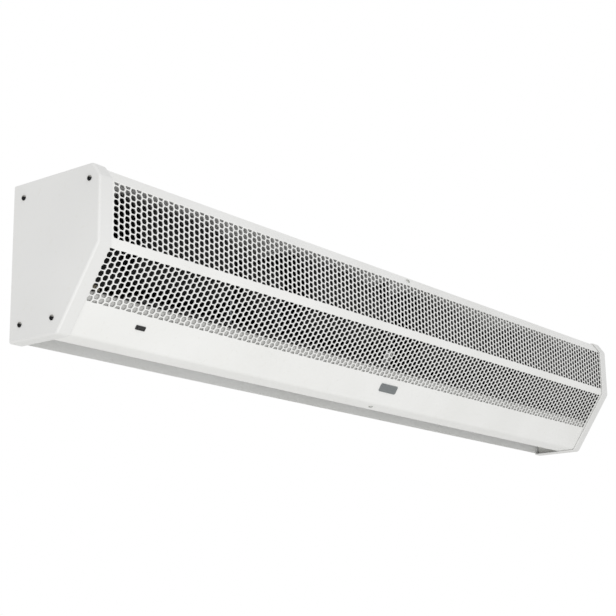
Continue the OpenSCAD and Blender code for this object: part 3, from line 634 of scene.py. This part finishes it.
# the case's outline in (y, z), from the top's rear edge over the front to the foot, d mm inside
def caseOutline(d):
    corners = [Vector(p) for p in (
        (0, roofZ), (frontY + casing["lipDepth"], roofZ), (frontY, roofZ - casing["lipHeight"]),
        (frontY, floorZ + casing["bendHeight"]), (-casing["footDepth"], floorZ), (0, floorZ))]
    moved = []
    last = len(corners) - 1
    for i, corner in enumerate(corners):
        before = inwardOf(unit(corners[max(i - 1, 0)], corners[max(i, 1)]))
        after = inwardOf(unit(corners[min(i, last - 1)], corners[min(i + 1, last)]))
        moved.append(corner + (before + after) * d / (1 + before.dot(after)))
    return moved


# points on a path whose inner corners are rounded, each with the way into the casing there
def roundedPath(corners, radii, steps):
    stations = [(corners[0], inwardOf(unit(corners[0], corners[1])))]
    for before, corner, after, radius in zip(corners, corners[1:], corners[2:], radii):
        a, b = unit(before, corner), unit(corner, after)
        turn = a.angle_signed(b)
        centre = corner - a * radius * math.tan(abs(turn) / 2) + inwardOf(a) * radius
        for k in range(steps + 1):
            angle = math.atan2(inwardOf(a).y, inwardOf(a).x) - turn * k / steps
            normal = Vector((math.cos(angle), math.sin(angle)))
            stations.append((centre - normal * radius, normal))
    stations.append((corners[-1], inwardOf(unit(corners[-2], corners[-1]))))
    return stations


# makes a piece whose first faces, as many as shaded says, take the normals given for their vertices
def addPiece(name, vertices, faces, finish, body, normals=(), shaded=0, smoothAngle=30):
    mesh = bpy.data.meshes.new(name)
    mesh.from_pydata([Vector(v) * mm for v in vertices], [], faces)
    mesh.shade_smooth()
    mesh.set_sharp_from_angle(angle=math.radians(smoothAngle))
    if shaded:
        given = [normals[v] if i < shaded else (0, 0, 0) for i, face in enumerate(faces) for v in face]
        mesh.normals_split_custom_set(given)
    mesh.materials.append(finishes[finish])
    piece = bpy.data.objects.new(name, mesh)
    bpy.context.scene.collection.objects.link(piece)
    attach(piece, body)
    return piece


# ---------- front panel ----------

panel = {  # mm
    "ends": 3.5,  # from the unit's end to the panel's, at the end plate's bend
    "topFlange": 14,  # depth of the strip on top
    "nozzleDepth": 54,  # from the wall to the outlet slot's front edge
    "bendRadius": 3.2,  # outside radius of the bends
    "footRadius": 8,  # of the bend at the foot
    "bendSteps": 4,
    "stripe": 100,  # length of the plain faces along the unit
}
grille = {
    "columns": 135,
    "columnPitch": 10.892,  # mm
    "rowPitch": 9.38,
    "rows": 8.5,  # in each band, so that alternate columns end in a half opening
    "bands": (  # corner of the outline above the band, mm below it, first column from the unit's end
        (2, 1.1, 35.0),
        (3, 4.4, 31.6),
    ),
    "openWidth": 10.25,
    "openHeight": 8.05,
    "openRadius": 1.3,
}
# mm, with the middle measured from the unit's left end and down the slope from the front's bend
switchCut = {"fromEnd": 143, "drop": 103, "length": 16.6, "width": 5.8}


# half of a six-sided opening's rim, from its right tip over +s to its left tip
def halfRim(spec):
    lean = spec["rowPitch"] / 2 / spec["columnPitch"]  # of the cells' sides
    tilt = math.atan(lean)
    high = spec["openHeight"] / 2
    radius = spec["openRadius"]
    tip = spec["openWidth"] / 2 + radius * (1 / math.cos(tilt) - 1)
    knee = tip - high * lean
    reach = radius * math.tan((math.pi / 2 - tilt) / 2)
    side = Vector((knee - tip, high)).normalized()
    tipReach = radius * math.tan(tilt)
    right = [Vector((spec["openWidth"] / 2, 0)), Vector((tip, 0)) + side * tipReach,
             Vector((knee, high)) - side * reach, Vector((knee - reach, high))]
    return right + [Vector((-p.x, p.y)) for p in reversed(right)]


# a bent sheet that is built flat, face by face, in (x, s), with s the length down its outer skin;
# places are rounded to 0.0001 mm, so that corners which meet are one vertex
class FlatSheet:
    def __init__(self, stations):
        self.stations = stations
        self.lengths = [0.0]
        for (a, _), (b, _) in zip(stations, stations[1:]):
            self.lengths.append(self.lengths[-1] + (b - a).length)
        self.points, self.index, self.faces = [], {}, []
        self.seams = {}

    def vertex(self, x, s):
        key = (round(x, 4), round(s, 4))
        if key not in self.index:
            self.index[key] = len(self.points)
            self.points.append(key)
        return self.index[key]

    # adds a face; an edge that lies on a band's border takes up every point that the band puts there
    def face(self, corners):
        loop = []
        for (xa, sa), (xb, sb) in zip(corners, corners[1:] + corners[:1]):
            loop.append(self.vertex(xa, sa))
            if sa == sb and sa in self.seams:
                passed = [x for x in self.seams[sa] if min(xa, xb) + close < x < max(xa, xb) - close]
                for x in sorted(passed, reverse=xb < xa):
                    loop.append(self.vertex(x, sa))
        self.faces.append(loop)

    # the place and the way into the casing of a flat place, some depth under the outer skin
    def placed(self, x, s, depth):
        k = max(i for i, length in enumerate(self.lengths[:-1]) if length <= s + 1e-6)
        share = (s - self.lengths[k]) / (self.lengths[k + 1] - self.lengths[k])
        (a, na), (b, nb) = self.stations[k], self.stations[k + 1]
        inward = na.lerp(nb, share)
        spot = a.lerp(b, share) + inward * depth
        return (x, spot.x, spot.y), (0, inward.x, inward.y)

    # both skins, then the walls round every free edge
    def solid(self, thickness):
        count = len(self.points)
        outer = [self.placed(x, s, 0) for x, s in self.points]
        inner = [self.placed(x, s, thickness) for x, s in self.points]
        vertices = [v for v, _ in outer + inner]
        normals = [-Vector(n) for _, n in outer] + [Vector(n) for _, n in inner]
        faces = [tuple(f) for f in self.faces]
        faces += [tuple(i + count for i in reversed(f)) for f in self.faces]
        sides = {(a, b) for f in self.faces for a, b in zip(f, f[1:] + f[:1])}
        faces += [(b, a, a + count, b + count) for a, b in sorted(sides) if (b, a) not in sides]
        return vertices, faces, normals


# the sheet is cut into one six-sided cell for each opening; these are the mm along the unit from a
# cell's middle to the ends of its flat sides and to its tips
def cellReach(spec):
    pitch, half = spec["columnPitch"], spec["rowPitch"] / 2
    near = pitch / 2 - half * half / (2 * pitch)
    return near, pitch - near


# the sheet round one band's openings: two faces to an opening, then the margins at both ends
def perforate(sheet, spec, start, end, columnXs, panelHalf):
    half = spec["rowPitch"] / 2
    near, far = cellReach(spec)
    cell = [(-far, 0), (-near, half), (near, half), (far, 0)]
    loop = cell + [(p.x, p.y) for p in halfRim(spec)]
    for i, x in enumerate(columnXs):
        for k in range(math.ceil(spec["rows"])):
            middle = start + (k + 0.5 * (i % 2)) * spec["rowPitch"]
            for way in (-1, 1):
                if start - close <= middle + way * half <= end + close:
                    placed = [(x + px, round(middle + way * py, 4)) for px, py in loop]
                    sheet.face(placed if way > 0 else placed[::-1])
    halfRows = int(2 * spec["rows"])
    zigzag = [(near if k % 2 else far, round(start + k * half, 4)) for k in range(halfRows + 1)]
    left, right = columnXs[0], columnXs[-1]
    for (reachA, a), (reachB, b) in zip(zigzag, zigzag[1:]):
        sheet.face([(-panelHalf, a), (-panelHalf, b), (left - reachB, b), (left - reachA, a)])
        sheet.face([(right + reachA, a), (right + reachB, b), (panelHalf, b), (panelHalf, a)])


def frontPanel(bent, spec, cut):
    skin = caseOutline(casing["hem"] + casing["seat"])
    corners = [skin[1] + Vector((bent["topFlange"], 0)), skin[1], skin[2], skin[3], skin[4],
               Vector((-bent["nozzleDepth"], skin[5].y))]
    radii = [bent["bendRadius"]] * 3 + [bent["footRadius"]]
    sheet = FlatSheet(roundedPath(corners, radii, bent["bendSteps"]))
    # where each corner would be along the sheet, if the facet below it went on up to it
    cornerAt = {}
    for k in (2, 3):
        facetStart = (bent["bendSteps"] + 1) * k
        station, _ = sheet.stations[facetStart]
        cornerAt[k] = sheet.lengths[facetStart] - (station - corners[k]).length
    near, far = cellReach(spec)
    tip = halfRim(spec)[0].x
    panelHalf = halfLength - bent["ends"]
    cutX = -halfLength + cut["fromEnd"]
    cutS = cornerAt[3] + cut["drop"]
    cutXs = [cutX - cut["length"] / 2, cutX + cut["length"] / 2]
    cutSs = [cutS - cut["width"] / 2, cutS + cut["width"] / 2]
    stripes = int(panelHalf / bent["stripe"])
    stripeXs = [float(k * bent["stripe"]) for k in range(-stripes, stripes + 1)]
    plainXs = sorted([-panelHalf, panelHalf] + stripeXs + cutXs)
    bands = []
    for corner, margin, first in spec["bands"]:
        start = round(cornerAt[corner] + margin, 4)
        end = round(start + spec["rows"] * spec["rowPitch"], 4)
        columnXs = [-halfLength + first + i * spec["columnPitch"] for i in range(spec["columns"])]
        bands.append((start, end, columnXs))
        top = [x + e for x in columnXs[::2] for e in (-far, -tip, tip, far)]
        bottom = [x + e for x in columnXs[::2] for e in (-near, near)]
        bottom += [x + e for x in columnXs[1::2] for e in (-tip, tip)]
        sheet.seams[start] = {round(x, 4) for x in top + plainXs}
        sheet.seams[end] = {round(x, 4) for x in bottom + plainXs}
    lines = sorted({round(v, 4) for v in sheet.lengths + cutSs} | set(sheet.seams))
    for top, bottom in zip(lines, lines[1:]):
        if any(start - close < top and bottom < end + close for start, end, _ in bands):
            continue
        for left, right in zip(plainXs, plainXs[1:]):
            middle = ((left + right) / 2, (top + bottom) / 2)
            inCut = cutXs[0] < middle[0] < cutXs[1] and cutSs[0] < middle[1] < cutSs[1]
            if right - left > close and not inCut:
                sheet.face([(left, top), (left, bottom), (right, bottom), (right, top)])
    for start, end, columnXs in bands:
        perforate(sheet, spec, start, end, columnXs, panelHalf)
    vertices, faces, normals = sheet.solid(casing["sheet"])
    piece = addPiece("frontPanel", vertices, faces, "coat", "casing",
                     normals, 2 * len(sheet.faces), 25)
    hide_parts("front_panel")
    triangles = sum(len(f) - 2 for f in faces)
    print("front panel:", len(faces), "faces,", triangles, "triangles")


frontPanel(panel, grille, switchCut)


# ---------- end plates ----------

pan = {
    "round": 3.5,  # mm, outside radius of the bend between plate and flange
    "corner": 8,  # mm, radius of the plate's corners as seen from its end
    "bendSteps": 6,
    "cornerSteps": 8,
    "holeRadius": 2.3,  # mm
    "holeSides": 12,
}
# (y, z) of each end plate's screws in mm: two near the top, then two near the foot
endScrews = [(-20, roofZ - 22), (frontY + 20, roofZ - 22), (-20, floorZ + 24), (-84, floorZ + 24)]


# the pan's section from the middle of the outer face round the flange to the middle of the inner
# face: each station is mm in from the end, mm inside the outline, and the way out in those two
def panSection(spec):
    edge, hem = spec["round"], casing["hem"]
    inner = edge - hem
    shares = [k / spec["bendSteps"] for k in range(spec["bendSteps"] + 1)]
    quarter = [(math.sin(a), math.cos(a)) for a in (math.pi / 2 * share for share in shares)]
    folded = [(math.sin(a), math.cos(a)) for a in (math.pi * share for share in shares)]
    return ([(edge * (1 - c), edge * (1 - s), -c, -s) for s, c in quarter]
            + [(casing["flange"] - hem / 2 * (1 - s), hem / 2 * (1 - c), s, -c) for s, c in folded]
            + [(casing["plate"] + inner * (1 - s), hem + inner * (1 - c), s, c) for s, c in quarter])


def endPlate(name, side, node, spec):
    stations = panSection(spec)
    vertices, normals, rings = [], [], []

    def put(x, y, z, normal):
        vertices.append((side * (halfLength - x), y, z))
        normals.append((-side * normal[0], normal[1], normal[2]))
        return len(vertices) - 1

    for x, d, outX, outD in stations:
        path = roundedPath(caseOutline(d), [max(spec["corner"] - d, 1)] * 4, spec["cornerSteps"])
        rings.append([put(x, spot.x, spot.y, (outX, outD * inward.x, outD * inward.y))
                      for spot, inward in path])
    sides = spec["holeSides"]
    rim = [(spec["holeRadius"] * math.cos(a), spec["holeRadius"] * math.sin(a))
           for a in (2 * math.pi * k / sides for k in range(sides))]
    holes = [[[put(x, y + rimY, z + rimZ, (outX, 0, 0)) for rimY, rimZ in rim] for y, z in endScrews]
             for x, outX in ((0, -1), (casing["plate"], 1))]
    faces = []
    for before, after in zip(rings, rings[1:]):
        for k in range(len(before) - 1):
            faces.append((before[k], after[k], after[k + 1], before[k + 1]))
    # the two flat sides round their holes, wound like the rest of the right end's plate
    for ring, punched, way in ((rings[0], holes[0], 1), (rings[-1], holes[1], -1)):
        flat = ring + [v for hole in punched for v in hole]
        drawn = [[Vector((vertices[v][1], vertices[v][2], 0)) for v in loop] for loop in [ring] + punched]
        placed = [corner for loop in drawn for corner in loop]
        for a, b, c in tessellate_polygon(drawn):
            ahead = (placed[b] - placed[a]).cross(placed[c] - placed[a]).z * way > 0
            faces.append((flat[a], flat[b], flat[c]) if ahead else (flat[a], flat[c], flat[b]))
    shaded = len(faces)
    for outer, inner in zip(*holes):
        for k in range(sides):
            n = (k + 1) % sides
            faces.append((outer[k], inner[k], inner[n], outer[n]))
    faces.append(tuple([ring[0] for ring in reversed(rings)] + [ring[-1] for ring in rings]))
    if side < 0:
        faces = [face[::-1] for face in faces]
    piece = addPiece(name, vertices, faces, "shadedEndCoat", "casing", normals, shaded)
    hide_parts(node)


endPlate("leftEndPlate", -1, "left_end_plate", pan)
endPlate("rightEndPlate", 1, "right_end_plate", pan)
print("end plates are built")


# ---------- screws ----------

panHead = {  # mm
    "profile": ((2.5, 2.0), (3.15, 1.75), (3.65, 1.25), (3.95, 0.6), (4.0, 0)),  # radius and height
    "crossTop": (2.3, 0.5, 2.1),  # the cross recess at its rim: reach, half width and height
    "crossFloor": (1.3, 0.36, 0.9),
    "shankRadius": 2,
}
endShank, panelShank = 7, 8  # mm of each screw under its head
screwSides = 24  # six to each quarter, which the faces round the cross recess count on


# a pan-head screw with a cross recess, which stands on z = 0 and points up
def screwMesh(spec, shank):
    points, faces = [], []

    def ring(radius, height):
        first = len(points)
        for k in range(screwSides):
            a = 2 * math.pi * k / screwSides
            points.append((radius * math.cos(a), radius * math.sin(a), height))
        return [first + k for k in range(screwSides)]

    def cross(reach, half, height):
        first = len(points)
        for k in range(4):
            for x, y in ((reach, -half), (reach, half), (half, half)):
                c, s = math.cos(math.pi / 2 * k), math.sin(math.pi / 2 * k)
                points.append((x * c - y * s, x * s + y * c, height))
        return [first + k for k in range(12)]

    rings = [ring(r, h) for r, h in spec["profile"]] + [ring(spec["shankRadius"], 0)]
    rings.append(ring(spec["shankRadius"], -shank))
    for before, after in zip(rings, rings[1:]):
        for k in range(screwSides):
            n = (k + 1) % screwSides
            faces.append((before[k], after[k], after[n], before[n]))
    faces.append(tuple(reversed(rings[-1])))
    top, foot = cross(*spec["crossTop"]), cross(*spec["crossFloor"])
    for k in range(12):
        n = (k + 1) % 12
        faces.append((top[k], top[n], foot[n], foot[k]))
    faces.append(tuple(foot))
    outer = rings[0]
    for q in range(4):
        i, s = 3 * q, 6 * q
        ends = [outer[(s + k) % screwSides] for k in (1, 0, -1)]
        faces.append((top[i], *reversed(ends), top[i + 1]))
        faces.append((top[i + 1], outer[s + 1], outer[s + 2], outer[(s + 3) % screwSides], top[i + 2]))
        faces.append((top[i + 2], outer[s + 3], outer[s + 4], outer[(s + 5) % screwSides],
                      top[(i + 3) % 12]))
    return points, faces


# one piece with a screw at every seat, which is a place in mm and the way its head points
def screwSet(name, node, seats, shank, finish, spec):
    points, faces = screwMesh(spec, shank)
    vertices, allFaces = [], []
    for place, way in seats:
        turn = Vector(way).to_track_quat("Z", "Y")
        first = len(vertices)
        vertices += [Vector(place) + turn @ Vector(p) for p in points]
        allFaces += [tuple(first + v for v in face) for face in faces]
    piece = addPiece(name, vertices, allFaces, finish, "casing", smoothAngle=38)
    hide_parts(node)


panelSkin = caseOutline(casing["hem"] + casing["seat"])
lipWay = inwardOf(unit(panelSkin[1], panelSkin[2]))
lipMiddle = (panelSkin[1] + panelSkin[2]) / 2
endSeats = [((side * halfLength, y, z), (side, 0, 0)) for side in (-1, 1) for y, z in endScrews]
screwSet("endPlateScrews", "end_plate_screws", endSeats, endShank, "oxide", panHead)
panelSeats = [((0, lipMiddle.x, lipMiddle.y), (0, -lipWay.x, -lipWay.y)),
              ((0, -(casing["footDepth"] + panel["nozzleDepth"]) / 2, panelSkin[5].y), (0, 0, -1))]
screwSet("frontPanelScrews", "front_panel_screws", panelSeats, panelShank, "zinc", panHead)
print("screws are built")


# ---------- moulded and cut edges ----------

# mm by which the edges of these pieces are rounded, so that they catch the light
roundedEdges = {
    "rating_plate": 0.6,
    "left_vane_bearing": 0.6,
    "right_vane_bearing": 0.6,
    "hanging_nuts": 0.4,
    "terminal_block": 0.4,
}


def roundEdges(piece, width):
    bevel = piece.modifiers.new("roundedEdges", "BEVEL")
    bevel.width = width * mm
    bevel.segments = 3
    bevel.limit_method = "ANGLE"
    bevel.angle_limit = math.radians(40)
    bevel.harden_normals = True


for name, width in roundedEdges.items():
    roundEdges(nodes[name], width)
print("edges are rounded on", len(roundedEdges), "pieces")


# ---------- switch ----------

switch = {  # mm, sizes along the unit and down the slope
    "frame": (19, 6.8),
    "frameCorner": 1.2,
    "proud": 1.4,  # of the frame over the panel
    "frameEdge": 0.5,  # radius round the frame's top
    "roundSteps": 4,  # faces round each corner and round that edge
    "well": (14.2, 3.6),
    "wellCorner": 0.4,
    "wellDepth": 10.6,
    "case": (16, 5.2),
    "caseCorner": 0.5,
    "caseDepth": 20,
}
rocker = {  # mm; its side view is along the unit and into the casing
    "side": [(-6.2, -1.9), (0, -0.7), (6.2, -1.9), (5.8, 1.5), (3, 6), (-3, 6), (-5.8, 1.5)],
    "width": 3.2,
    "edge": 0.3,
}


# a spot given along the unit, down the slope and into the casing from the middle of the switch
def onSlope(along, down, depth):
    way = unit(panelSkin[3], panelSkin[4])
    spot = panelSkin[3] + way * (switchCut["drop"] + down) + inwardOf(way) * depth
    return (switchCut["fromEnd"] - halfLength + along, spot.x, spot.y)


# a rounded rectangle round the middle of the switch, some depth under the panel's skin
def slopeRing(size, radius, depth):
    ring = []
    steps = switch["roundSteps"]
    for k, (signX, signY) in enumerate(((1, 1), (-1, 1), (-1, -1), (1, -1))):
        for i in range(steps + 1):
            angle = math.pi / 2 * (k + i / steps)
            ring.append(onSlope(signX * (size[0] / 2 - radius) + radius * math.cos(angle),
                                signY * (size[1] / 2 - radius) + radius * math.sin(angle), depth))
    return ring


# rings from the floor of the rocker's well, over the frame, to the back of the case
def switchBody(spec):
    (length, width), edge, corner = spec["frame"], spec["frameEdge"], spec["frameCorner"]
    rings = [slopeRing(spec["well"], spec["wellCorner"], depth)
             for depth in (spec["wellDepth"], -spec["proud"])]
    for k in range(spec["roundSteps"] + 1):
        angle = math.pi / 2 * k / spec["roundSteps"]
        inset = edge * (1 - math.sin(angle))
        rings.append(slopeRing((length - 2 * inset, width - 2 * inset), corner - inset,
                               edge * (1 - math.cos(angle)) - spec["proud"]))
    rings.append(slopeRing((length, width), corner, 0))
    rings += [slopeRing(spec["case"], spec["caseCorner"], depth) for depth in (0, spec["caseDepth"])]
    vertices = sum(rings, [])
    count = len(rings[0])
    faces = [tuple(reversed(range(count)))]
    for first in range(0, len(vertices) - count, count):
        for i in range(count):
            a, b = first + i, first + (i + 1) % count
            faces.append((a, b, b + count, a + count))
    faces.append(tuple(range(len(vertices) - count, len(vertices))))
    piece = addPiece("switchBody", vertices, faces, "nylon", "casing", smoothAngle=40)
    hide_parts("switch_body")


def switchRocker(spec):
    side = spec["side"]
    count = len(side)
    vertices = [onSlope(x, way * spec["width"] / 2, depth) for way in (-1, 1) for x, depth in side]
    faces = [tuple(range(count)), tuple(reversed(range(count, 2 * count)))]
    for i in range(count):
        j = (i + 1) % count
        faces.append((j, i, count + i, count + j))
    piece = addPiece("switchRocker", vertices, faces, "nylon", "rocker")
    roundEdges(piece, spec["edge"])
    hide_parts("switch_rocker")


switchBody(switch)
switchRocker(rocker)
print("switch is built")
